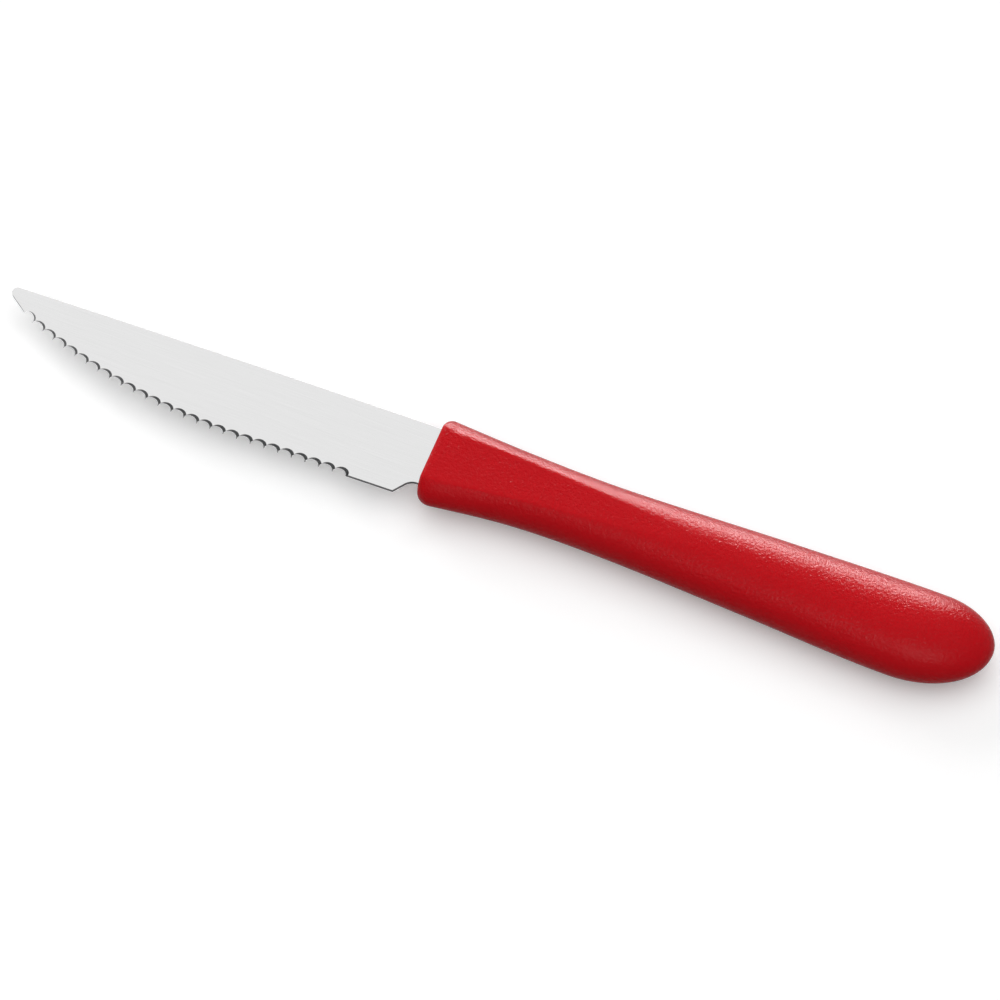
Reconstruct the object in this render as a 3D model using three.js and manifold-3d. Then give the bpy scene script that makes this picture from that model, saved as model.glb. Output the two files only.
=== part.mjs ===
// Steak knife: a serrated blade stamped from stainless sheet, with a hidden tang that is keyed into a moulded
// polypropylene handle.
// Millimetres. The knife lies on its side. It is drawn with x = 0 at the handle's front face, y = 0 on the
// handle's axis and z = 0 on the blade's middle plane, with +X to the butt and +Y to the spine.
// At the end it is moved so that the origin lies under the middle of the whole knife.

import * as THREE from "three";
import { mergeVertices } from "three/addons/utils/BufferGeometryUtils.js";
import Module from "manifold-3d";

const wasm = await Module();
wasm.setup();

// Blade sizes. The blade is drawn with its spine on y = 0, and its edge at negative y.
const bladeLength = 93; // from the handle's front face to the tip
const bladeHeight = 16.1; // from the spine to the plain edge at the heel
const bladeThickness = 0.9;
const bladeDroop = THREE.MathUtils.degToRad(1.46); // the tip lies this much below the handle's axis
const spineAtFront = 7.3; // height of the spine where it enters the handle
const spineCrown = 0.22; // how far the spine bows out between the handle and the tip
const tipRadius = 1.1;
const tipAngle = THREE.MathUtils.degToRad(36); // between the spine and the straight plain edge at the tip
const tipFacet = 7.3; // length of that straight edge
const straightEdge = 32; // from the heel to where the edge starts to curve up
const heelSetback = 4.8; // from the handle's front face to the heel
const choilAngle = THREE.MathUtils.degToRad(52); // slope of the notch behind the heel
const choilRadius = 2.8;

// Scallops ground into the edge, leaning so that they run deeper and nearer the heel on the +Z face
const scallopPitch = 2.93; // fitted to a whole number of scallops
const scallopRadius = 1.24;
const scallopDepth = 1.35; // on the +Z face, from the plain edge
const scallopLean = THREE.MathUtils.degToRad(6); // into the blade
const scallopSlant = THREE.MathUtils.degToRad(36); // towards the heel
const plainHeel = 9.45; // edge left plain at the heel
const plainTip = 4.75; // edge left plain at the tip

// Neck and tang, inside the handle
const neckHeight = 12.8; // spine to lower edge, where the blade enters
const neckInset = 4; // how far the full neck reaches into the handle
const tangLength = 62; // from the handle's front face
const tangHeight = 8;
const tangDrop = 3.5; // from the spine to the tang's upper edge
const tangCorner = 2; // corner radius at the tang's end
const keyHole = 4; // diameter of the tang's holes, which the handle's plastic fills
const keyPlaces = [14, 32, 50]; // of the holes, from the handle's front face
const tangClearance = 0.3; // between the tang and the plastic around it

// Handle sizes. Heights are measured from the handle's axis, at the front, shoulder, waist, swell and bulge.
const handleLength = 117.6;
const spineHeights = [9.9, 8.7, 8.3, 9.5, 10.3];
const bellyHeights = [9.5, 7, 6.6, 7.9, 9.3];
const waistPlace = 38; // of the waist, from the front face
const spineButt = 12; // length of the rounding at the butt, on the spine side
const bellyButt = 18; // the same on the belly side
const sideButt = 18; // the same on the two broad sides
const buttHeight = 2.3; // of the butt's last point, above the axis
const frontThickness = 7.6;
const bulgeThickness = 12.8;
const frontRounding = 1; // of the edges between the front face and the broad sides
const spineCorner = 1.8; // rounding between the front face and the spine side
const bellyCorner = 3.4; // the same on the belly side
const flatWidth = 11; // of the flat on each broad side, at the front
const flatEnd = 76; // where the flats have narrowed to nothing
const creaseSharpness = 40; // the higher, the tighter the creases beside the flats

const cutLength = 4 * bladeThickness; // of the cutters, so that they pass right through the blade or the slot

// Fineness of the mesh
const ringPoints = 48;
const bodyRings = 26;
const buttRings = 10;
const frontRings = 8;
const scallopSides = 24;
const keySides = 24;
const arcSteps = 10;

// A closed mesh as a solid to cut and join, and a solid as a mesh
function toSolid(geometry) {
  const bare = geometry.clone();
  bare.deleteAttribute("normal");
  bare.deleteAttribute("uv");
  const merged = mergeVertices(bare);
  return new wasm.Manifold(
    new wasm.Mesh({
      numProp: 3,
      vertProperties: new Float32Array(merged.attributes.position.array),
      triVerts: new Uint32Array(merged.index.array),
    }),
  );
}

function toGeometry(solid) {
  const mesh = solid.getMesh();
  const geometry = new THREE.BufferGeometry();
  geometry.setAttribute("position", new THREE.BufferAttribute(new Float32Array(mesh.vertProperties), 3));
  geometry.setIndex(new THREE.BufferAttribute(new Uint32Array(mesh.triVerts), 1));
  const faceted = geometry.toNonIndexed();
  faceted.computeVertexNormals();
  return faceted;
}

// A plate of the given thickness, centred on z = 0
function plate(shape, thickness) {
  const geometry = new THREE.ExtrudeGeometry(shape, {
    depth: thickness,
    bevelEnabled: false,
    curveSegments: arcSteps,
  });
  return geometry.translate(0, 0, -thickness / 2);
}

// From the blade's own drawing to its place in the handle
function setInHandle(geometry) {
  return geometry.rotateZ(bladeDroop).translate(0, spineAtFront, 0);
}

// The edge, in the blade's drawing: a straight facet at the tip, an arc, and a straight run to the heel
const tipCentre = new THREE.Vector2(-bladeLength + tipRadius, -tipRadius);
const facetNormal = new THREE.Vector2(Math.sin(tipAngle), Math.cos(tipAngle)); // into the blade
const facetAlong = new THREE.Vector2(Math.cos(tipAngle), -Math.sin(tipAngle)); // from the tip to the heel
const facetTop = tipCentre.clone().addScaledVector(facetNormal, -tipRadius);
const facetFoot = facetTop.clone().addScaledVector(facetAlong, tipFacet);
const heel = new THREE.Vector2(-heelSetback, -bladeHeight);
const arcEnd = new THREE.Vector2(heel.x - straightEdge, heel.y);
const arcRun = arcEnd.x - facetFoot.x;
const arcRise = facetFoot.y - arcEnd.y;
const arcRadius = (arcRun ** 2 + arcRise ** 2) / (2 * arcRise); // touches the straight run at arcEnd
const arcCentre = new THREE.Vector2(arcEnd.x, arcEnd.y + arcRadius);
const arcSweep = Math.asin(arcRun / arcRadius);
const arcLength = arcRadius * arcSweep;
const edgeLength = tipFacet + arcLength + straightEdge;

// Place on the edge and direction into the blade, at a distance along the edge from the tip
function onEdge(distance) {
  if (distance < tipFacet) {
    return { place: facetTop.clone().addScaledVector(facetAlong, distance), inward: facetNormal.clone() };
  }
  const turn = Math.max(0, arcSweep - (distance - tipFacet) / arcRadius);
  const inward = new THREE.Vector2(Math.sin(turn), Math.cos(turn));
  const place = arcCentre.clone().addScaledVector(inward, -arcRadius);
  place.x += Math.max(0, distance - tipFacet - arcLength);
  return { place, inward };
}

// The outline's stretch inside the handle, from the neck's lower edge round the tang to the spine.
// The slot in the handle is the same stretch, grown by the clearance.
function drawTang(shape, grow) {
  const shoulder = neckInset + grow;
  const lowerStep = Math.sign(neckHeight - tangDrop - tangHeight); // 1 where the neck is deeper than the tang
  const lowerShoulder = neckInset + lowerStep * grow;
  const end = tangLength + grow;
  const top = -tangDrop + grow;
  const bottom = -tangDrop - tangHeight - grow;
  const corner = tangCorner + grow;
  shape.lineTo(lowerShoulder, -neckHeight - grow);
  shape.lineTo(lowerShoulder, bottom);
  shape.lineTo(end - corner, bottom);
  shape.absarc(end - corner, bottom + corner, corner, -Math.PI / 2, 0);
  shape.absarc(end - corner, top - corner, corner, 0, Math.PI / 2);
  shape.lineTo(shoulder, top);
  shape.lineTo(shoulder, grow);
}

function bladeOutline() {
  const shape = new THREE.Shape();
  shape.moveTo(facetTop.x, facetTop.y);
  shape.lineTo(facetFoot.x, facetFoot.y);
  shape.absarc(arcCentre.x, arcCentre.y, arcRadius, -Math.PI / 2 - arcSweep, -Math.PI / 2);
  shape.lineTo(heel.x, heel.y);
  // the notch behind the heel: a slope, then a fillet no taller than the notch into the neck's lower edge
  const notch = bladeHeight - neckHeight;
  const fillet = Math.min(choilRadius, notch / (1 - Math.cos(choilAngle)));
  const run = (fillet + (notch - fillet) * Math.cos(choilAngle)) / Math.sin(choilAngle);
  const quarter = Math.PI / 2;
  shape.absarc(heel.x + run, -neckHeight - fillet, fillet, quarter + choilAngle, quarter, true);
  drawTang(shape, 0);
  shape.lineTo(0, 0);
  shape.quadraticCurveTo(tipCentre.x / 2, 2 * spineCrown, tipCentre.x, 0);
  shape.absarc(tipCentre.x, tipCentre.y, tipRadius, Math.PI / 2, 1.5 * Math.PI - tipAngle);
  for (const place of keyPlaces) {
    shape.holes.push(new THREE.Path().absarc(place, -tangDrop - tangHeight / 2, keyHole / 2, 0, 2 * Math.PI));
  }
  return shape;
}

// One grinding cut: a leaning cylinder, deepest on the +Z face
function scallopCut(distance) {
  const { place, inward } = onEdge(distance);
  const centre = place.addScaledVector(inward, scallopDepth - scallopRadius);
  const along = new THREE.Vector2(inward.y, -inward.x); // towards the heel
  const lean = inward.clone().multiplyScalar(Math.tan(scallopLean));
  lean.addScaledVector(along, Math.tan(scallopSlant));
  const axis = new THREE.Vector3(lean.x, lean.y, 1).normalize();
  const cut = new THREE.CylinderGeometry(scallopRadius, scallopRadius, cutLength, scallopSides);
  cut.applyQuaternion(new THREE.Quaternion().setFromUnitVectors(new THREE.Vector3(0, 1, 0), axis));
  return cut.translate(centre.x, centre.y, bladeThickness / 2);
}

function makeBlade() {
  let blade = toSolid(plate(bladeOutline(), bladeThickness));
  const scallopRun = edgeLength - plainTip - plainHeel;
  const scallops = Math.round(scallopRun / scallopPitch);
  for (let i = 0; i < scallops; i++) {
    blade = blade.subtract(toSolid(scallopCut(plainTip + ((i + 0.5) * scallopRun) / scallops)));
  }
  return setInHandle(toGeometry(blade));
}

// A smooth curve through the handle's five heights, level at the bulge
function profile(heights, bulge, x) {
  const places = [0, waistPlace / 2, waistPlace, (waistPlace + bulge) / 2, bulge];
  const last = places.length - 1;
  const at = Math.min(x, bulge);
  const from = places.findLastIndex((place, k) => place <= at && k < last);
  const slope = (k) => {
    const before = Math.max(k - 1, 0);
    return k === last ? 0 : (heights[k + 1] - heights[before]) / (places[k + 1] - places[before]);
  };
  const width = places[from + 1] - places[from];
  const t = (at - places[from]) / width;
  const ease = t * t * (3 - 2 * t);
  const bend = t * (1 - t) * width * ((1 - t) * slope(from) - t * slope(from + 1));
  return THREE.MathUtils.lerp(heights[from], heights[from + 1], ease) + bend;
}

// How far the section has shrunk towards the butt's last point, from 1 where the rounding starts to 0
function buttShrink(x, rounding) {
  const past = Math.max(0, x - (handleLength - rounding)) / rounding;
  return Math.sqrt(Math.max(0, 1 - past ** 2));
}

// How far a rounding at the front face draws the section in
function frontInset(x, rounding) {
  return rounding - Math.sqrt(rounding ** 2 - Math.max(0, rounding - x) ** 2);
}

// The handle's cross-section at x: an oval with a flat on each broad side, which narrows towards the rear
function section(x) {
  const spine = profile(spineHeights, handleLength - spineButt, x) - buttHeight;
  const belly = profile(bellyHeights, handleLength - bellyButt, x) + buttHeight;
  const top = buttHeight + spine * buttShrink(x, spineButt) - frontInset(x, spineCorner);
  const bottom = buttHeight - belly * buttShrink(x, bellyButt) + frontInset(x, bellyCorner);
  const swell = Math.sin((Math.min(x / (handleLength - sideButt), 1) * Math.PI) / 2);
  const side = THREE.MathUtils.lerp(frontThickness, bulgeThickness, swell) / 2;
  return {
    x,
    middle: (top + bottom) / 2,
    halfHeight: (top - bottom) / 2,
    halfThickness: side * buttShrink(x, sideButt) - frontInset(x, frontRounding),
    flat: (flatWidth * Math.max(0, 1 - x / flatEnd)) / (top - bottom), // its share of the height
  };
}

// Reach of the section in a direction, scaled to a half height and thickness of 1. The oval is the one that
// the flat is cut from, and the norm of both rounds the creases between them.
function reach(across, out, { flat }) {
  const oval = Math.hypot(across, out * Math.sqrt(1 - flat ** 2));
  return (oval ** creaseSharpness + flat * Math.abs(out) ** creaseSharpness) ** (-1 / creaseSharpness);
}

function sectionPoint(ring, angle) {
  const across = Math.cos(angle);
  const out = Math.sin(angle);
  const here = reach(across, out, ring);
  const y = (here * across) / reach(1, 0, ring);
  const z = (here * out) / reach(0, 1, ring);
  return [ring.x, ring.middle + y * ring.halfHeight, z * ring.halfThickness];
}

// Where the rings stand: close together on the front rounding and on the butt
function ringPlaces() {
  const bulge = handleLength - bellyButt;
  const places = [];
  for (let i = 0; i < frontRings; i++) {
    places.push(bellyCorner * (1 - Math.cos(((i / frontRings) * Math.PI) / 2)));
  }
  for (let i = 0; i <= bodyRings; i++) {
    places.push(THREE.MathUtils.lerp(bellyCorner, bulge, i / bodyRings));
  }
  for (let i = 1; i < buttRings; i++) {
    places.push(bulge + bellyButt * Math.sin(((i / buttRings) * Math.PI) / 2));
  }
  return places;
}

// The handle's outer body: rings of section points, closed by the front face and the butt's last point
function handleBody() {
  const rings = ringPlaces().map(section);
  const points = [];
  for (const ring of rings) {
    for (let k = 0; k < ringPoints; k++) {
      points.push(...sectionPoint(ring, (2 * Math.PI * k) / ringPoints));
    }
  }
  const front = points.length / 3;
  points.push(0, rings[0].middle, 0);
  const butt = front + 1;
  points.push(handleLength, buttHeight, 0);
  const triangles = [];
  for (let k = 0; k < ringPoints; k++) {
    const next = (k + 1) % ringPoints;
    for (let r = 0; r < rings.length - 1; r++) {
      const here = r * ringPoints;
      const there = here + ringPoints;
      triangles.push(here + k, here + next, there + k);
      triangles.push(here + next, there + next, there + k);
    }
    const lastRing = (rings.length - 1) * ringPoints;
    triangles.push(front, next, k);
    triangles.push(butt, lastRing + k, lastRing + next);
  }
  const geometry = new THREE.BufferGeometry();
  geometry.setAttribute("position", new THREE.Float32BufferAttribute(points, 3));
  geometry.setIndex(triangles);
  return geometry;
}

// The room that the neck and the tang take up in the handle, open at the front face
function tangSlot() {
  const shape = new THREE.Shape();
  shape.moveTo(-neckInset, tangClearance);
  shape.lineTo(-neckInset, -neckHeight - tangClearance);
  drawTang(shape, tangClearance);
  return setInHandle(plate(shape, bladeThickness + 2 * tangClearance));
}

// A plug of the handle's plastic through one of the tang's holes
function key(place) {
  const radius = keyHole / 2 - tangClearance;
  const geometry = new THREE.CylinderGeometry(radius, radius, cutLength, keySides);
  geometry.rotateX(Math.PI / 2).translate(place, -tangDrop - tangHeight / 2, 0);
  return setInHandle(geometry);
}

function makeHandle() {
  const slot = keyPlaces.reduce((room, place) => room.subtract(toSolid(key(place))), toSolid(tangSlot()));
  return toGeometry(toSolid(handleBody()).subtract(slot));
}

const stainless = new THREE.MeshStandardMaterial({ color: 0xd6d7d8, roughness: 0.35, metalness: 1 });
const redPlastic = new THREE.MeshStandardMaterial({ color: 0xc4121a, roughness: 0.5, metalness: 0 });

const blade = new THREE.Mesh(makeBlade(), stainless);
blade.name = "blade";
const handle = new THREE.Mesh(makeHandle(), redPlastic);
handle.name = "handle";

const knife = new THREE.Group();
knife.add(blade, handle);
const box = new THREE.Box3().setFromObject(knife);
const middle = box.getCenter(new THREE.Vector3());
knife.position.set(-middle.x, -middle.y, -box.min.z);

export default knife;
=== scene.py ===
# Steak knife: a serrated satin blade in a grained red handle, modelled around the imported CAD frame.
# The knife lies on its side: +X runs to the butt, +Y to the spine, +Z up. All sizes are in metres.

import math

import bpy
from mathutils import Euler, Matrix, Vector


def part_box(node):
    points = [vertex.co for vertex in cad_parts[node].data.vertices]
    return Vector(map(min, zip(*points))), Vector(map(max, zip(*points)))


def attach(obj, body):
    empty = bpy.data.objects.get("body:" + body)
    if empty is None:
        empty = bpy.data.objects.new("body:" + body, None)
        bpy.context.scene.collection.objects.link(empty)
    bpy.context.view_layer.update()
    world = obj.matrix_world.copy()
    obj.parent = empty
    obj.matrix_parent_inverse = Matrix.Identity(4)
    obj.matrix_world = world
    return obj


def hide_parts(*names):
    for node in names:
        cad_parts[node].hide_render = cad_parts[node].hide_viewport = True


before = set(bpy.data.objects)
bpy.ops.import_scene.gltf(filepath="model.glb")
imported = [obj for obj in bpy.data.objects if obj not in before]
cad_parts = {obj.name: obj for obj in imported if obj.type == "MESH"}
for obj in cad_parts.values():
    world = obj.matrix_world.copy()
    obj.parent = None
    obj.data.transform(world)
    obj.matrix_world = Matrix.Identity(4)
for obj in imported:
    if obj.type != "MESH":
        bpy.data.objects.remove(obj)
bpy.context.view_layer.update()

MM = 0.001

# Blade sizes. The blade is drawn with its spine on y = 0 and its edge at negative y. Its x counts from the
# handle's front face.
BLADE_LENGTH = 93 * MM
BLADE_HEIGHT = 16.1 * MM
BLADE_DROOP = math.radians(1.46)  # of the tip, below the handle's axis
SPINE_AT_FRONT = 7.3 * MM  # height of the spine where it enters the handle
SPINE_CROWN = 0.22 * MM  # how far the spine bows out
TIP_RADIUS = 1.1 * MM
TIP_ANGLE = math.radians(36)  # between the spine and the straight plain edge at the tip
TIP_FACET = 7.3 * MM  # length of that straight edge
STRAIGHT_EDGE = 32 * MM  # from the heel to where the edge starts to curve up
HEEL_SETBACK = 4.8 * MM
CHOIL_ANGLE = math.radians(52)  # slope of the notch behind the heel
CHOIL_RADIUS = 2.8 * MM
RIM_ROUNDING = 0.05 * MM  # of the sheet's rim, from tumbling

# Scallops ground into the edge, a little deeper on the upper face
SCALLOPS = 26
SCALLOP_RADIUS = 1.24 * MM
SCALLOP_DEPTH = 1.35 * MM
SCALLOP_LEAN = math.radians(6)  # into the blade
SCALLOP_SLANT = math.radians(36)  # towards the heel
PLAIN_HEEL = 9.45 * MM  # edge left plain at the heel
PLAIN_TIP = 4.75 * MM  # edge left plain at the tip

# Neck and tang, inside the handle
NECK_HEIGHT = 12.8 * MM
NECK_INSET = 4 * MM
TANG_LENGTH = 62 * MM
TANG_HEIGHT = 8 * MM
TANG_DROP = 3.5 * MM  # from the spine to the tang's upper edge
TANG_CORNER = 2 * MM
KEY_HOLE = 4 * MM
KEY_PLACES = (14 * MM, 32 * MM, 50 * MM)
MOULD_GAP = 0.03 * MM  # what the plastic leaves open when it shrinks round the tang

# Handle sizes. Heights are measured from the handle's axis, at the front, shoulder, waist, swell and bulge.
SPINE_HEIGHTS = [height * MM for height in (9.9, 8.7, 8.3, 9.5, 10.3)]
BELLY_HEIGHTS = [height * MM for height in (9.5, 7, 6.6, 7.9, 9.3)]
WAIST_PLACE = 38 * MM
SPINE_BUTT = 12 * MM  # length of the rounding at the butt, on the spine side
BELLY_BUTT = 18 * MM
SIDE_BUTT = 18 * MM
BUTT_HEIGHT = 2.3 * MM  # of the butt's last point, above the axis
FRONT_THICKNESS = 7.6 * MM
FRONT_ROUNDING = 1 * MM  # of the edges between the front face and the broad sides
SPINE_CORNER = 1.8 * MM  # rounding between the front face and the spine side
BELLY_CORNER = 3.4 * MM  # the same on the belly side
FLAT_WIDTH = 12 * MM  # of the flat on each broad side, at the front
FLAT_END = 76 * MM  # where the flats have narrowed to nothing
CREASE_SHARPNESS = 80  # the higher, the tighter the creases beside the flats

# Fineness of the meshes
RING_POINTS = 256
FRONT_RINGS = 14
BODY_RINGS = 60
BUTT_RINGS = 26
ARC_LENGTH = 2 * MM  # longest chord on an arc
ARC_TURN = math.radians(4)  # largest turn between two chords
CUTTER_SIDES = 64

# What the CAD frame gives: overall sizes, and the point that the drawings are measured from
blade_low, blade_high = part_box("blade")
handle_low, handle_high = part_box("handle")
BLADE_THICKNESS = blade_high.z - blade_low.z
HANDLE_LENGTH = handle_high.x - handle_low.x
BULGE_THICKNESS = handle_high.z - handle_low.z
DRAWING_ORIGIN = Vector(
    (handle_low.x, handle_high.y - SPINE_HEIGHTS[-1], (blade_low.z + blade_high.z) / 2)
)
BLADE_PLACE = (
    Matrix.Translation(DRAWING_ORIGIN)
    @ Matrix.Translation((0, SPINE_AT_FRONT, 0))
    @ Matrix.Rotation(BLADE_DROOP, 4, "Z")
)
CUT_LENGTH = 4 * BLADE_THICKNESS  # of cutters that pass right through the blade or its slot


# Shaders


def linear(hex_colour):
    """An sRGB hex colour as the linear colour that shaders take."""
    channels = [int(hex_colour[i : i + 2], 16) / 255 for i in (1, 3, 5)]
    return [c / 12.92 if c <= 0.04045 else ((c + 0.055) / 1.055) ** 2.4 for c in channels] + [1.0]


def add_node(tree, kind, inputs=None, **settings):
    """A node with its settings, and its inputs set to values or linked to other nodes' outputs."""
    node = tree.nodes.new(kind)
    for name, value in settings.items():
        setattr(node, name, value)
    for name, value in (inputs or {}).items():
        if isinstance(value, bpy.types.NodeSocket):
            tree.links.new(value, node.inputs[name])
        else:
            node.inputs[name].default_value = value
    return node


def calculate(tree, operation, *values):
    """The result of a calculation with numbers and other nodes' outputs."""
    node = add_node(tree, "ShaderNodeMath", dict(enumerate(values)), operation=operation)
    return node.outputs["Value"]


def noise(tree, place, detail, size=1):
    """Cloudy noise between 0 and 1, with lumps of a size."""
    node = add_node(tree, "ShaderNodeTexNoise", {"Vector": place, "Scale": 1 / size, "Detail": detail})
    return node.outputs["Fac"]


def streaks(tree, sizes, detail, turn=0):
    """Noise with lumps of a size along each axis, turned about Z."""
    place = add_node(tree, "ShaderNodeTexCoord").outputs["Object"]
    scale = [1 / size for size in sizes]
    stretched = add_node(
        tree, "ShaderNodeMapping", {"Vector": place, "Rotation": (0, 0, turn), "Scale": scale}
    )
    return noise(tree, stretched.outputs["Vector"], detail)


def mix_colours(tree, share, first, second):
    """A colour between two hex colours. Inputs 6 and 7 and output 2 are the node's colour sockets."""
    node = add_node(
        tree, "ShaderNodeMix", {"Factor": share, 6: linear(first), 7: linear(second)}, data_type="RGBA"
    )
    return node.outputs[2]


def between(tree, share, low, high):
    """A value between two ends, by a share from 0 to 1."""
    node = add_node(tree, "ShaderNodeMapRange", {"Value": share, "To Min": low, "To Max": high})
    return node.outputs["Result"]


def bumpy(tree, height, strength, depth):
    """A surface normal that follows a height."""
    node = add_node(tree, "ShaderNodeBump", {"Strength": strength, "Distance": depth, "Height": height})
    return node.outputs["Normal"]


def new_material(name):
    """An empty material with its output node."""
    material = bpy.data.materials.new(name)
    material.use_nodes = True
    material.node_tree.nodes.clear()
    return material, material.node_tree, material.node_tree.nodes.new("ShaderNodeOutputMaterial")


def set_surface(tree, output, inputs):
    """Gives a material's output a principled shader with these inputs."""
    shader = add_node(tree, "ShaderNodeBsdfPrincipled", inputs)
    tree.links.new(shader.outputs["BSDF"], output.inputs["Surface"])


def grained_polypropylene():
    """Polypropylene moulded in a spark-eroded tool: saturated red, with a fine pebbled grain that breaks up
    its soft gloss."""
    material, tree, output = new_material("grained_polypropylene")
    pebble = 0.65 * MM
    pitting = 0.3 * MM
    mottle = 14 * MM
    grain_depth = 0.085 * MM
    pebble_share = 0.8  # of the pebbles in the grain's height, beside the pits
    place = add_node(tree, "ShaderNodeTexCoord").outputs["Object"]
    pebbles = add_node(
        tree,
        "ShaderNodeTexVoronoi",
        {"Vector": place, "Scale": 1 / pebble, "Smoothness": 0.7},
        feature="SMOOTH_F1",
    )
    pits = noise(tree, place, detail=2, size=pitting)
    clouds = noise(tree, place, detail=3, size=mottle)
    height = calculate(tree, "MULTIPLY_ADD", pebbles.outputs["Distance"], pebble_share, pits)
    inputs = {
        "Base Color": mix_colours(tree, clouds, "#C00814", "#BA0712"),
        "Roughness": between(tree, pits, 0.16, 0.26),
        "IOR": 1.49,
        "Specular IOR Level": 0.08,
        "Normal": bumpy(tree, height, strength=1.0, depth=grain_depth),
    }
    set_surface(tree, output, inputs)
    return material


def satin_stainless():
    """Stainless sheet with a fine satin grind along its length: pale, even and soft in its reflections."""
    material, tree, output = new_material("satin_stainless")
    grind_width = 0.12 * MM  # coarser than a real grind, so that it shows
    grind_length = 12 * MM
    grind_depth = 0.01 * MM
    grind = streaks(tree, (grind_length, grind_width, grind_width), detail=3, turn=-BLADE_DROOP)
    inputs = {
        "Base Color": mix_colours(tree, grind, "#DEDEDE", "#EAEAEA"),
        "Metallic": 1.0,
        "Roughness": between(tree, grind, 0.12, 0.18),
        "Normal": bumpy(tree, grind, strength=0.12, depth=grind_depth),
    }
    set_surface(tree, output, inputs)
    return material


def sheared_stainless_with_painted_shade():
    """The sheet's cut walls, scored across by the die and the wheel. They are darker than the face, partly
    as sheared steel and partly as painted shade.
    """
    material, tree, output = new_material("sheared_stainless_with_painted_shade")
    score_width = 0.15 * MM
    score_length = 4 * MM
    score_depth = 0.02 * MM
    scores = streaks(tree, (score_width, score_width, score_length), detail=2)
    inputs = {
        # Painted shade in part: this dark base colour stands in for the shadowed floor that the walls
        # mirror
        "Base Color": linear("#4A4B4C"),
        "Metallic": 1.0,
        "Roughness": between(tree, scores, 0.08, 0.16),
        "Normal": bumpy(tree, scores, strength=0.3, depth=score_depth),
    }
    set_surface(tree, output, inputs)
    return material


# Modelling by hand: outlines drawn out of one vertex, and cutters


class Outline:
    """A flat outline in the blade's drawing: one vertex, extruded along lines and spun along arcs."""

    def __init__(self, name, start, bottom):
        self.pen = Vector(start)
        self.bottom = bottom
        bpy.ops.object.select_all(action="DESELECT")
        bpy.ops.mesh.primitive_plane_add(size=MM, location=self.place(self.pen))
        bpy.ops.object.transform_apply()
        self.piece = bpy.context.object
        self.piece.name = name
        bpy.ops.object.mode_set(mode="EDIT")
        bpy.ops.mesh.select_mode(type="VERT")
        bpy.ops.mesh.select_all(action="SELECT")
        bpy.ops.mesh.merge(type="CENTER")

    def place(self, point):
        return BLADE_PLACE @ Vector((point[0], point[1], self.bottom))

    def line_to(self, x, y):
        """A straight stretch to a point."""
        move = self.place((x, y)) - self.place(self.pen)
        bpy.ops.mesh.extrude_vertices_move(TRANSFORM_OT_translate={"value": move})
        self.pen = Vector((x, y))

    def arc(self, centre, turn):
        """A round stretch about a centre. A positive turn is anticlockwise, while spin's own angle is
        clockwise."""
        arm = self.pen - Vector(centre)
        steps = math.ceil(max(abs(turn) * arm.length / ARC_LENGTH, abs(turn) / ARC_TURN))
        bpy.ops.mesh.spin(steps=steps, angle=-turn, center=self.place(centre), axis=(0, 0, 1))
        self.pen = Vector(centre) + Matrix.Rotation(turn, 2) @ arm

    def thicken(self, thickness):
        """Closes and fills the outline, and pulls it up into a plate."""
        bpy.ops.mesh.select_all(action="SELECT")
        bpy.ops.mesh.remove_doubles(threshold=0.001 * MM)
        bpy.ops.mesh.edge_face_add()
        bpy.ops.mesh.extrude_region_move(TRANSFORM_OT_translate={"value": (0, 0, thickness)})
        bpy.ops.mesh.select_all(action="SELECT")
        bpy.ops.mesh.normals_make_consistent(inside=False)
        bpy.ops.object.mode_set(mode="OBJECT")
        return self.piece


def edit_edges(piece, wanted):
    """Opens the active piece for editing, with only those edges selected whose two ends pass a test."""
    bpy.ops.object.mode_set(mode="EDIT")
    bpy.ops.mesh.select_mode(type="EDGE")
    bpy.ops.mesh.select_all(action="DESELECT")
    bpy.ops.object.mode_set(mode="OBJECT")
    for edge in piece.data.edges:
        edge.select = wanted(*[piece.data.vertices[i].co for i in edge.vertices])
    bpy.ops.object.mode_set(mode="EDIT")


def round_cutter(radius, centre, axis):
    """A cylinder through the blade, at a point of its drawing."""
    turn = axis.to_track_quat("Z", "Y").to_euler()
    bpy.ops.object.select_all(action="DESELECT")
    bpy.ops.mesh.primitive_cylinder_add(
        vertices=CUTTER_SIDES, radius=radius, depth=CUT_LENGTH, location=BLADE_PLACE @ centre, rotation=turn
    )
    return bpy.context.object


def cut(piece, cutter):
    """Takes a cutter's shape out of a piece."""
    modifier = piece.modifiers.new("cut", "BOOLEAN")
    modifier.operation = "DIFFERENCE"
    modifier.solver = "EXACT"
    modifier.object = cutter
    bpy.context.view_layer.objects.active = piece
    bpy.ops.object.modifier_apply(modifier=modifier.name)
    bpy.data.objects.remove(cutter)


def cut_at_keys(piece, radius):
    """Cuts round holes at the keys' places, through the tang or through the slot's shape."""
    for place in KEY_PLACES:
        centre = Vector((place, -TANG_DROP - TANG_HEIGHT / 2, 0))
        cut(piece, round_cutter(radius, centre, Vector((0, 0, 1))))


def finish_piece(piece, node, materials, smooth_angle):
    """Gives a piece its materials and its shading, and puts it in the CAD node's place."""
    for material in materials:
        piece.data.materials.append(material)
    bpy.ops.object.select_all(action="DESELECT")
    piece.select_set(True)
    bpy.context.view_layer.objects.active = piece
    bpy.ops.object.shade_smooth_by_angle(angle=smooth_angle)
    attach(piece, "root")
    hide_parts(node)


# Blade

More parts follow.
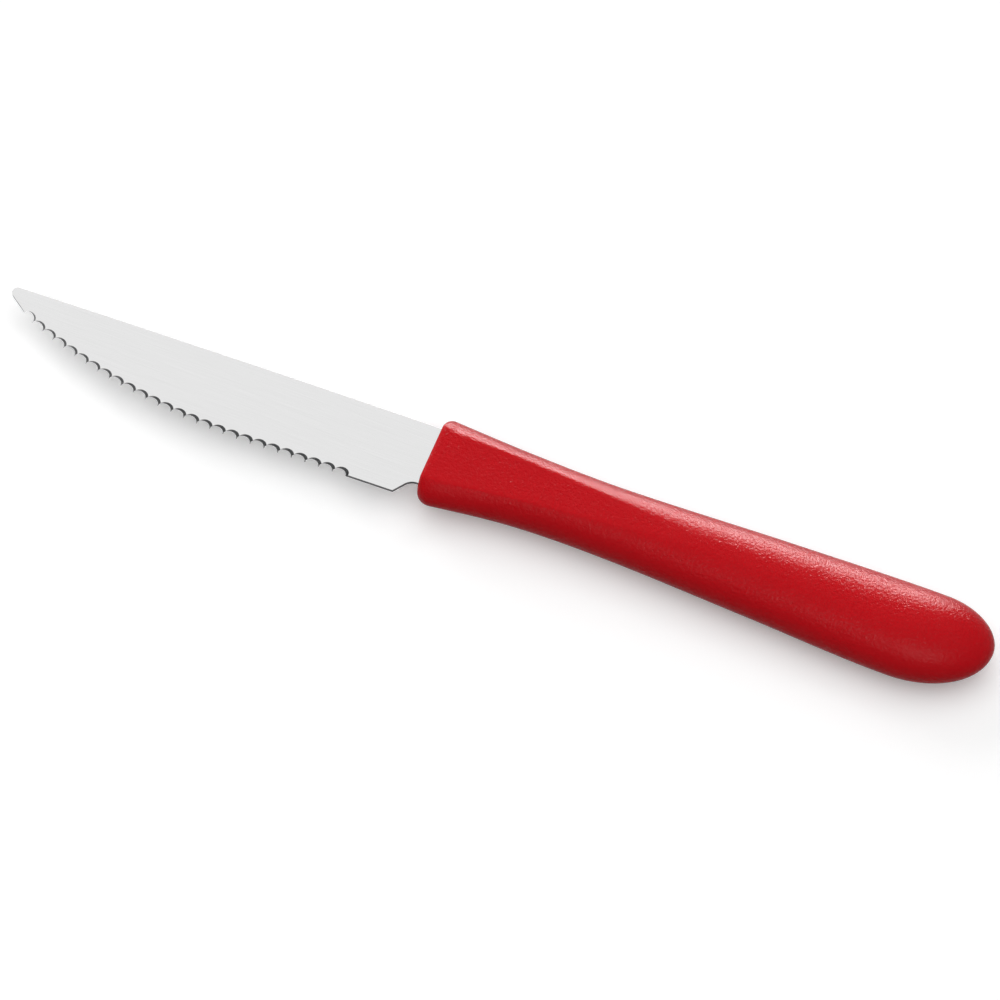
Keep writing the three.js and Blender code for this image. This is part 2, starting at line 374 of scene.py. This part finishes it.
# Points of the edge's drawing: a straight facet at the tip, and a curve that ends level on the straight run
TIP_CENTRE = Vector((TIP_RADIUS - BLADE_LENGTH, -TIP_RADIUS))
FACET_INWARD = Vector((math.sin(TIP_ANGLE), math.cos(TIP_ANGLE)))
FACET_ALONG = Vector((math.cos(TIP_ANGLE), -math.sin(TIP_ANGLE)))
FACET_TOP = TIP_CENTRE - TIP_RADIUS * FACET_INWARD
FACET_FOOT = FACET_TOP + TIP_FACET * FACET_ALONG
HEEL = Vector((-HEEL_SETBACK, -BLADE_HEIGHT))
CURVE_END = HEEL - Vector((STRAIGHT_EDGE, 0))
CURVE_RUN = CURVE_END.x - FACET_FOOT.x
CURVE_FALL = FACET_FOOT.y - CURVE_END.y
CURVE_RADIUS = (CURVE_RUN**2 + CURVE_FALL**2) / (2 * CURVE_FALL)
CURVE_CENTRE = CURVE_END + Vector((0, CURVE_RADIUS))
CURVE_SWEEP = math.asin(CURVE_RUN / CURVE_RADIUS)


def draw_tang(outline, grow):
    """The outline's stretch inside the handle. The slot's is the same, grown by the mould gap."""
    shoulder = NECK_INSET + grow
    end = TANG_LENGTH + grow
    top = grow - TANG_DROP
    bottom = -TANG_DROP - TANG_HEIGHT - grow
    corner = TANG_CORNER + grow
    outline.line_to(shoulder, -NECK_HEIGHT - grow)
    outline.line_to(shoulder, bottom)
    outline.line_to(end - corner, bottom)
    outline.arc((end - corner, bottom + corner), math.pi / 2)
    outline.line_to(end, top - corner)
    outline.arc((end - corner, top - corner), math.pi / 2)
    outline.line_to(shoulder, top)
    outline.line_to(shoulder, grow)


def draw_notch(outline):
    """The notch behind the heel: a slope, and a fillet that ends level on the neck."""
    climb = BLADE_HEIGHT - NECK_HEIGHT - CHOIL_RADIUS
    run = (CHOIL_RADIUS + climb * math.cos(CHOIL_ANGLE)) / math.sin(CHOIL_ANGLE)
    centre = Vector((run - HEEL_SETBACK, -NECK_HEIGHT - CHOIL_RADIUS))
    slope_top = centre + CHOIL_RADIUS * Vector((-math.sin(CHOIL_ANGLE), math.cos(CHOIL_ANGLE)))
    outline.line_to(*slope_top)
    outline.arc(centre, -CHOIL_ANGLE)


def draw_spine(outline):
    """The spine from the handle to the tip, bowed out a little."""
    radius = TIP_CENTRE.x**2 / (8 * SPINE_CROWN)
    centre = Vector((TIP_CENTRE.x / 2, SPINE_CROWN - radius))
    outline.line_to(0, 0)
    outline.arc(centre, 2 * math.asin(-TIP_CENTRE.x / (2 * radius)))


def draw_blade():
    """The stamping: the edge from the tip to the heel, the notch, the neck and the tang, and the spine."""
    outline = Outline("blade_steel", FACET_TOP, -BLADE_THICKNESS / 2)
    outline.line_to(*FACET_FOOT)
    outline.arc(CURVE_CENTRE, CURVE_SWEEP)
    outline.line_to(*HEEL)
    draw_notch(outline)
    draw_tang(outline, 0)
    draw_spine(outline)
    outline.arc(TIP_CENTRE, math.pi - TIP_ANGLE)
    return outline.thicken(BLADE_THICKNESS)


def round_rim(blade):
    """Breaks the sheet's sharp rim, along all edges that lie flat."""
    edit_edges(blade, lambda start, end: abs(start.z - end.z) < RIM_ROUNDING)
    bpy.ops.mesh.bevel(offset=RIM_ROUNDING, segments=1)
    bpy.ops.object.mode_set(mode="OBJECT")


def on_edge(distance):
    """Place on the edge and direction into the blade, at a distance along the edge from the tip."""
    if distance < TIP_FACET:
        return FACET_TOP + distance * FACET_ALONG, FACET_INWARD
    turn = max(0, CURVE_SWEEP - (distance - TIP_FACET) / CURVE_RADIUS)
    inward = Vector((math.sin(turn), math.cos(turn)))
    past = max(0, distance - TIP_FACET - CURVE_SWEEP * CURVE_RADIUS)
    return CURVE_CENTRE - CURVE_RADIUS * inward + Vector((past, 0)), inward


def grind_scallops(blade):
    """Cuts the scallops, spread evenly along the edge between its two plain stretches."""
    edge_length = TIP_FACET + CURVE_SWEEP * CURVE_RADIUS + STRAIGHT_EDGE
    pitch = (edge_length - PLAIN_TIP - PLAIN_HEEL) / SCALLOPS
    for i in range(SCALLOPS):
        place, inward = on_edge(PLAIN_TIP + (i + 0.5) * pitch)
        centre = place + (SCALLOP_DEPTH - SCALLOP_RADIUS) * inward
        along = Vector((inward.y, -inward.x))
        tilt = math.tan(SCALLOP_LEAN) * inward + math.tan(SCALLOP_SLANT) * along
        axis = Vector((*tilt, 1)).normalized()
        axis.rotate(Euler((0, 0, BLADE_DROOP)))
        on_face = centre.to_3d() + Vector((0, 0, BLADE_THICKNESS / 2))
        cut(blade, round_cutter(SCALLOP_RADIUS, on_face, axis))


def make_blade():
    """The stamped blade, with its rim broken, the scallops in its edge and the holes in its tang."""
    smooth_angle = math.radians(12)
    wall_limit = 0.65  # a face whose normal has less than this along Z is a cut wall
    blade = draw_blade()
    round_rim(blade)
    grind_scallops(blade)
    cut_at_keys(blade, KEY_HOLE / 2)
    finish_piece(blade, "blade", [satin_stainless(), sheared_stainless_with_painted_shade()], smooth_angle)
    # Cut walls get the second material, whose dark colour is partly painted shade
    for face in blade.data.polygons:
        face.material_index = int(abs(face.normal.z) < wall_limit)


# Handle


def blend(a, b, share):
    return a + (b - a) * share


def smoothstep(x, low, high):
    share = min(max((x - low) / (high - low), 0), 1)
    return share * share * (3 - 2 * share)


def profile(heights, bulge, x):
    """A smooth curve through the handle's five heights, level at the bulge."""
    places = (0, WAIST_PLACE / 2, WAIST_PLACE, (WAIST_PLACE + bulge) / 2, bulge)
    last = len(places) - 1
    at = min(x, bulge)
    start = max(k for k in range(last) if places[k] <= at)

    def slope(k):
        before = max(k - 1, 0)
        return 0 if k == last else (heights[k + 1] - heights[before]) / (places[k + 1] - places[before])

    width = places[start + 1] - places[start]
    share = (at - places[start]) / width
    bend = share * (1 - share) * width * ((1 - share) * slope(start) - share * slope(start + 1))
    return blend(heights[start], heights[start + 1], smoothstep(share, 0, 1)) + bend


def butt_shrink(x, rounding):
    """The section's size on the butt's rounding: 1 where the rounding starts, and 0 at the last point."""
    past = max(0, x - (HANDLE_LENGTH - rounding)) / rounding
    return math.sqrt(max(0, 1 - past**2))


def front_inset(x, rounding):
    """How far a rounding at the front face draws the section in."""
    return rounding - math.sqrt(rounding**2 - max(0, rounding - x) ** 2)


def section(x):
    """The handle's section: its middle, half height, half thickness and the flat's share of its height."""
    spine = profile(SPINE_HEIGHTS, HANDLE_LENGTH - SPINE_BUTT, x) - BUTT_HEIGHT
    belly = profile(BELLY_HEIGHTS, HANDLE_LENGTH - BELLY_BUTT, x) + BUTT_HEIGHT
    top = BUTT_HEIGHT + spine * butt_shrink(x, SPINE_BUTT) - front_inset(x, SPINE_CORNER)
    bottom = BUTT_HEIGHT - belly * butt_shrink(x, BELLY_BUTT) + front_inset(x, BELLY_CORNER)
    swell = math.sin(min(x / (HANDLE_LENGTH - SIDE_BUTT), 1) * math.pi / 2)
    side = blend(FRONT_THICKNESS, BULGE_THICKNESS, swell) / 2 * butt_shrink(x, SIDE_BUTT)
    side -= front_inset(x, FRONT_ROUNDING)
    flat = FLAT_WIDTH * max(0, 1 - x / FLAT_END) / (top - bottom)
    return (top + bottom) / 2, (top - bottom) / 2, side, flat


def reach(across, out, flat):
    """Reach in a direction of an oval with a flat cut on each broad side, for a half height and a half
    thickness of 1."""
    oval = math.hypot(across, out * math.sqrt(1 - flat**2))
    return (oval**CREASE_SHARPNESS + flat * abs(out) ** CREASE_SHARPNESS) ** (-1 / CREASE_SHARPNESS)


def ring_places():
    """Where the handle's rings stand: close together on the front rounding and on the butt."""
    bulge = HANDLE_LENGTH - BELLY_BUTT
    front = [BELLY_CORNER * (1 - math.cos(i / FRONT_RINGS * math.pi / 2)) for i in range(FRONT_RINGS)]
    body = [blend(BELLY_CORNER, bulge, i / BODY_RINGS) for i in range(BODY_RINGS + 1)]
    butt = [bulge + BELLY_BUTT * math.sin(i / BUTT_RINGS * math.pi / 2) for i in range(1, BUTT_RINGS)]
    return front + body + butt


def handle_blank(rings):
    """A round bar along the handle's axis, divided into rings, with a fan at each end."""
    bpy.ops.object.select_all(action="DESELECT")
    bpy.ops.mesh.primitive_cylinder_add(
        vertices=RING_POINTS,
        radius=BULGE_THICKNESS / 2,
        depth=HANDLE_LENGTH,
        end_fill_type="TRIFAN",
        location=(HANDLE_LENGTH / 2, 0, 0),
        rotation=(0, math.pi / 2, 0),
    )
    bpy.ops.object.transform_apply()
    blank = bpy.context.object
    blank.name = "handle_moulding"
    edit_edges(blank, lambda start, end: abs(start.x - end.x) > HANDLE_LENGTH / 2)
    bpy.ops.mesh.subdivide(number_cuts=rings - 2)
    bpy.ops.object.mode_set(mode="OBJECT")
    return blank


def shape_bar(bar, places):
    """Moves the bar's points to the handle's surface, ring by ring, and the middles of its two ends."""
    sections = [section(x) for x in places]
    for vertex in bar.data.vertices:
        ring = round(vertex.co.x / HANDLE_LENGTH * (len(places) - 1))
        middle, half_height, half_thickness, flat = sections[ring]
        arm = Vector((vertex.co.y, vertex.co.z))
        if arm.length < MM:
            end_point = (HANDLE_LENGTH, BUTT_HEIGHT, 0) if ring > 0 else (0, middle, 0)
            vertex.co = DRAWING_ORIGIN + Vector(end_point)
            continue
        across, out = arm.normalized()
        here = reach(across, out, flat)
        y = middle + half_height * here * across / reach(1, 0, flat)
        z = half_thickness * here * out / reach(0, 1, flat)
        vertex.co = DRAWING_ORIGIN + Vector((places[ring], y, z))


def tang_slot():
    """The room of the neck and the tang, less the keys of plastic that fill the tang's holes."""
    room = Outline("tang_slot", (-NECK_INSET, MOULD_GAP), -BLADE_THICKNESS / 2 - MOULD_GAP)
    room.line_to(-NECK_INSET, -NECK_HEIGHT - MOULD_GAP)
    draw_tang(room, MOULD_GAP)
    slot = room.thicken(BLADE_THICKNESS + 2 * MOULD_GAP)
    cut_at_keys(slot, KEY_HOLE / 2 - MOULD_GAP)
    return slot


def make_handle():
    """The moulded handle, with the slot that the plastic leaves round the tang."""
    smooth_angle = math.radians(30)
    places = ring_places()
    handle = handle_blank(len(places))
    shape_bar(handle, places)
    cut(handle, tang_slot())
    finish_piece(handle, "handle", [grained_polypropylene()], smooth_angle)


# Studio

CAMERA_ELEVATION = math.radians(64)
CAMERA_TURN = math.radians(22)
behind = Vector((-math.sin(CAMERA_TURN), math.cos(CAMERA_TURN), 0))  # level, away from the camera


def direction_to(azimuth, elevation):
    """Where a lamp stands. Its azimuth counts from behind the knife towards the picture's left."""
    level = behind.copy()
    level.rotate(Euler((0, 0, azimuth)))
    return math.cos(elevation) * level + Vector((0, 0, math.sin(elevation)))


def shown_rays(tree):
    """1 for rays that show the studio, straight or mirrored, and 0 for rays that gather light."""
    path = add_node(tree, "ShaderNodeLightPath").outputs
    mirrored = calculate(tree, "MAXIMUM", path["Is Glossy Ray"], path["Is Transmission Ray"])
    before_diffuse = calculate(tree, "LESS_THAN", path["Diffuse Depth"], 0.5)
    return calculate(tree, "MULTIPLY_ADD", mirrored, before_diffuse, path["Is Camera Ray"])


def make_floor():
    """A plain white floor that keeps the shadow. It is lifted a little for the camera, to be white where it
    is lit, and it is greyer for the light that it throws back on the knife."""
    floor_size = 6
    lift = 0.2
    material, tree, output = new_material("white_floor")
    seen = add_node(tree, "ShaderNodeLightPath").outputs["Is Camera Ray"]
    glow = calculate(tree, "MULTIPLY", seen, lift)
    colour = mix_colours(tree, shown_rays(tree), "#B4B4B4", "#F5F5F5")
    paint = add_node(tree, "ShaderNodeBsdfDiffuse", {"Color": colour})
    light = add_node(tree, "ShaderNodeEmission", {"Strength": glow})
    both = add_node(tree, "ShaderNodeAddShader", {0: paint.outputs["BSDF"], 1: light.outputs["Emission"]})
    tree.links.new(both.outputs["Shader"], output.inputs["Surface"])
    bpy.ops.object.select_all(action="DESELECT")
    bpy.ops.mesh.primitive_plane_add(size=floor_size)
    floor = bpy.context.object
    floor.name = "floor"
    floor.data.materials.append(material)
    # The back card reaches below the floor's edge, as if the floor mirrored it
    floor.visible_shadow = False


def make_world():
    """White to the camera and in reflections, but for a darker ceiling, and a weak fill light otherwise."""
    fill = 0.02
    ceiling = 0.4
    ceiling_tilt = math.radians(10)  # of its middle, from overhead towards the camera
    ceiling_start, ceiling_end = math.radians(24), math.radians(31)  # from its middle, where it fades out
    middle = direction_to(math.pi, math.pi / 2 - ceiling_tilt)
    world = bpy.data.worlds.new("studio")
    world.use_nodes = True
    tree = world.node_tree
    tree.nodes.clear()
    direction = add_node(tree, "ShaderNodeTexCoord").outputs["Generated"]
    nearness = add_node(tree, "ShaderNodeVectorMath", {0: direction, 1: middle}, operation="DOT_PRODUCT")
    walls = add_node(
        tree,
        "ShaderNodeMapRange",
        {
            "Value": nearness.outputs["Value"],
            "From Min": math.cos(ceiling_end),
            "From Max": math.cos(ceiling_start),
            "To Min": 1.0,
            "To Max": ceiling,
        },
        interpolation_type="SMOOTHSTEP",
    )
    shown = calculate(tree, "MULTIPLY", shown_rays(tree), walls.outputs["Result"])
    strength = calculate(tree, "MAXIMUM", shown, fill)
    background = add_node(tree, "ShaderNodeBackground", {"Color": (1, 1, 1, 1), "Strength": strength})
    output = add_node(tree, "ShaderNodeOutputWorld")
    tree.links.new(background.outputs["Background"], output.inputs["Surface"])
    bpy.context.scene.world = world


def add_lamp(name, azimuth, elevation, energy, spread, in_gloss):
    """A far lamp as wide as a softbox. It either lights the surfaces or shows only in their gloss."""
    lamp = bpy.data.lights.new(name, "SUN")
    lamp.energy = energy
    lamp.angle = math.radians(spread)
    light = bpy.data.objects.new(name, lamp)
    place = direction_to(math.radians(azimuth), math.radians(elevation))
    light.rotation_euler = place.to_track_quat("Z", "Y").to_euler()
    light.visible_glossy = in_gloss
    light.visible_diffuse = not in_gloss
    bpy.context.scene.collection.objects.link(light)


def make_lights():
    """A broad light overhead, a low one from behind and a little to the left, and two cards that show only
    in the gloss."""
    add_lamp("overhead", azimuth=0, elevation=90, energy=2.4, spread=90, in_gloss=False)
    add_lamp("key", azimuth=28, elevation=20, energy=1.5, spread=40, in_gloss=False)
    add_lamp("back_card", azimuth=0, elevation=6, energy=15, spread=50, in_gloss=True)
    add_lamp("front_card", azimuth=180, elevation=58, energy=0.8, spread=16, in_gloss=True)


def make_camera():
    """The photograph's view, set so that one point of the knife lands on its pixel."""
    image_size = 1000
    lens, sensor = 162, 36  # in millimetres, as cameras take them
    distance = 893.4 * MM
    behind_front = 1.4 * MM  # of that point, from the handle's front face
    point = DRAWING_ORIGIN + Vector((behind_front, 0, BLADE_THICKNESS / 2))
    pixel = Vector((436.5, 462.5))
    turn = Euler((math.pi / 2 - CAMERA_ELEVATION, 0, CAMERA_TURN))
    per_pixel = distance * sensor / lens / image_size
    right, up = (pixel.x - image_size / 2) * per_pixel, (image_size / 2 - pixel.y) * per_pixel
    offset = Vector((right, up, -distance))
    offset.rotate(turn)
    camera = bpy.data.objects.new("camera", bpy.data.cameras.new("camera"))
    camera.data.lens = lens
    camera.data.sensor_width = sensor
    camera.location = point - offset
    camera.rotation_euler = turn
    bpy.context.scene.collection.objects.link(camera)
    bpy.context.scene.camera = camera


make_camera()
make_world()
make_lights()
make_floor()
make_blade()
make_handle()

bpy.context.scene.view_settings.view_transform = "Standard"
